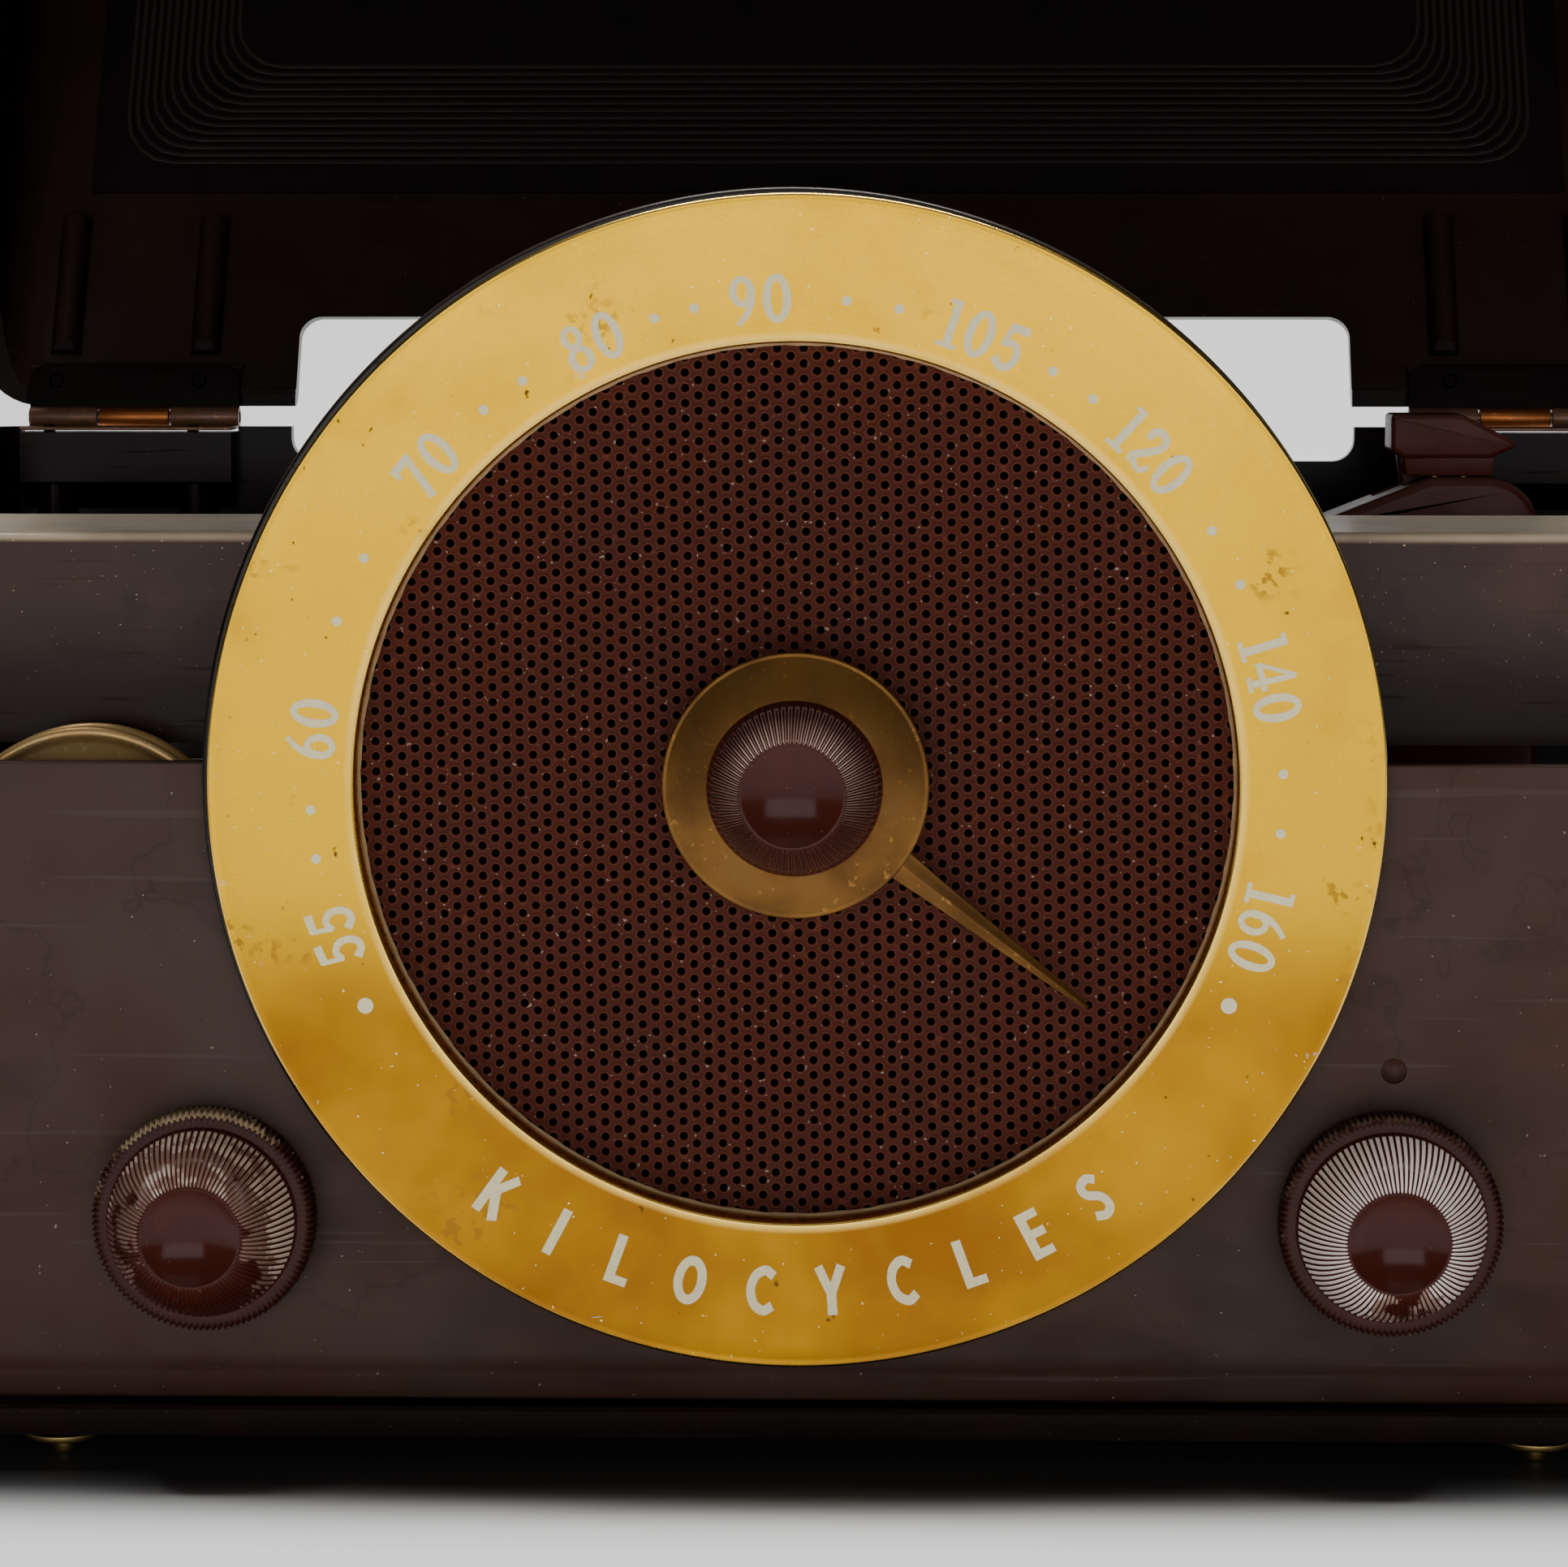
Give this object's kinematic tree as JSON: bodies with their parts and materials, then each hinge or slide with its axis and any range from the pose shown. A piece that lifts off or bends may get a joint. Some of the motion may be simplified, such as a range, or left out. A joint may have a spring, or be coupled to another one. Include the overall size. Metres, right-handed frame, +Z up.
{
  "type": "table radio",
  "caption": "Lidded bakelite table radio: hinged lid, round brass dial ring over a speaker grille, turning pointer and knobs, carry handle, pull-out plug and valve works inside.",
  "frame": {"origin": "on the table, under the middle of the radio's box with the lid open", "axes": "+Z up, +Y towards the back, so the dial faces -Y; +X to the right as seen from the front"},
  "size_m": [0.31, 0.23, 0.3457],
  "materials": {
    "dark_bakelite": "polished, dark brown, nearly black",
    "panel_brown": "satin brown, stained and scuffed",
    "knob_bakelite": "polished dark red-brown",
    "gold_brass": "brushed, lacquered",
    "aged_brass": "dull, with patina",
    "grille_paint": "satin dark red-brown paint",
    "gasket_fibre": "fibrous, tan",
    "cone_paper": "black pulp",
    "plated_steel": "zinc plated, dull",
    "magnet_iron": "dark grey",
    "tube_glass": "clear",
    "battery_card": "printed card wrap, plain",
    "antenna_board": "dark phenolic board"
  },
  "bodies": {
    "case_body": {"case": "dark_bakelite", "chassis_cover": "dark_bakelite", "dial_housing": "dark_bakelite", "control_panel": "panel_brown", "plug_socket": "knob_bakelite", "dial_ring": "gold_brass", "handle_bracket_left": "aged_brass", "handle_bracket_right": "aged_brass", "case_hinge_leaf_left": "aged_brass", "case_hinge_leaf_right": "aged_brass", "foot_front_left": "aged_brass", "foot_front_right": "aged_brass", "foot_rear_left": "aged_brass", "foot_rear_right": "aged_brass", "case_hinge_screw_left_inner": "aged_brass", "case_hinge_screw_left_outer": "aged_brass", "case_hinge_screw_right_inner": "aged_brass", "case_hinge_screw_right_outer": "aged_brass", "speaker_grille": "grille_paint", "dial_gasket": "gasket_fibre", "speaker_cone": "cone_paper", "speaker_frame": "plated_steel", "tuning_bridge": "plated_steel", "chassis": "plated_steel", "tuning_capacitor": "plated_steel", "volume_control": "plated_steel", "tone_control": "plated_steel", "speaker_magnet": "magnet_iron", "output_transformer": "magnet_iron", "converter_tube": "tube_glass", "amplifier_tube": "tube_glass", "detector_tube": "tube_glass", "output_tube": "tube_glass", "battery_pack": "battery_card"},
    "lid": {"lid": "dark_bakelite", "loop_antenna": "antenna_board", "lid_hinge_leaf_left": "aged_brass", "lid_hinge_leaf_right": "aged_brass", "hinge_pin_left": "plated_steel", "hinge_pin_right": "plated_steel", "lid_hinge_screw_left_inner": "aged_brass", "lid_hinge_screw_left_outer": "aged_brass", "lid_hinge_screw_right_inner": "aged_brass", "lid_hinge_screw_right_outer": "aged_brass"},
    "tuning": {"tuning_knob": "knob_bakelite", "dial_pointer": "aged_brass", "tuning_shaft": "plated_steel"},
    "drum": {"tuning_drum": "aged_brass", "capacitor_rotor": "plated_steel"},
    "volume": {"volume_knob": "knob_bakelite", "volume_shaft": "plated_steel"},
    "tone": {"tone_knob": "knob_bakelite", "tone_shaft": "plated_steel"},
    "carry_handle": {"handle_bail": "aged_brass", "handle_grip": "knob_bakelite"},
    "plug": {"changeover_plug": "knob_bakelite"}
  },
  "joints": [
    {"name": "lid_hinge", "type": "hinge", "parent": "case_body", "child": "lid", "pos_m": [0, 0.04602, 0.1545], "axis": [1, 0, 0], "range_deg": [0, 100]},
    {"name": "tuning_turn", "type": "hinge", "parent": "case_body", "child": "tuning", "pos_m": [0, -0.10098, 0.104], "axis": [0, 1, 0], "range_deg": [-250, 0]},
    {"name": "drum_turn", "type": "hinge", "parent": "case_body", "child": "drum", "pos_m": [-0.1098, -0.08598, 0.0882], "axis": [0, 1, 0], "range_deg": [-180, 0]},
    {"name": "volume_turn", "type": "hinge", "parent": "case_body", "child": "volume", "pos_m": [-0.09, -0.10098, 0.0375], "axis": [0, 1, 0], "range_deg": [0, 300]},
    {"name": "tone_turn", "type": "hinge", "parent": "case_body", "child": "tone", "pos_m": [0.09, -0.10098, 0.0375], "axis": [0, 1, 0], "range_deg": [-150, 150]},
    {"name": "handle_swing", "type": "hinge", "parent": "case_body", "child": "carry_handle", "pos_m": [0, 0.05152, 0.1395], "axis": [1, 0, 0], "range_deg": [0, 180]},
    {"name": "plug_pull", "type": "slide", "parent": "case_body", "child": "plug", "axis": [0, 0, 1], "range_m": [0, 0.007]}
  ],
  "couplings": [
    {"joint": "drum_turn", "follows": "tuning_turn", "ratio": 0.72}
  ]
}
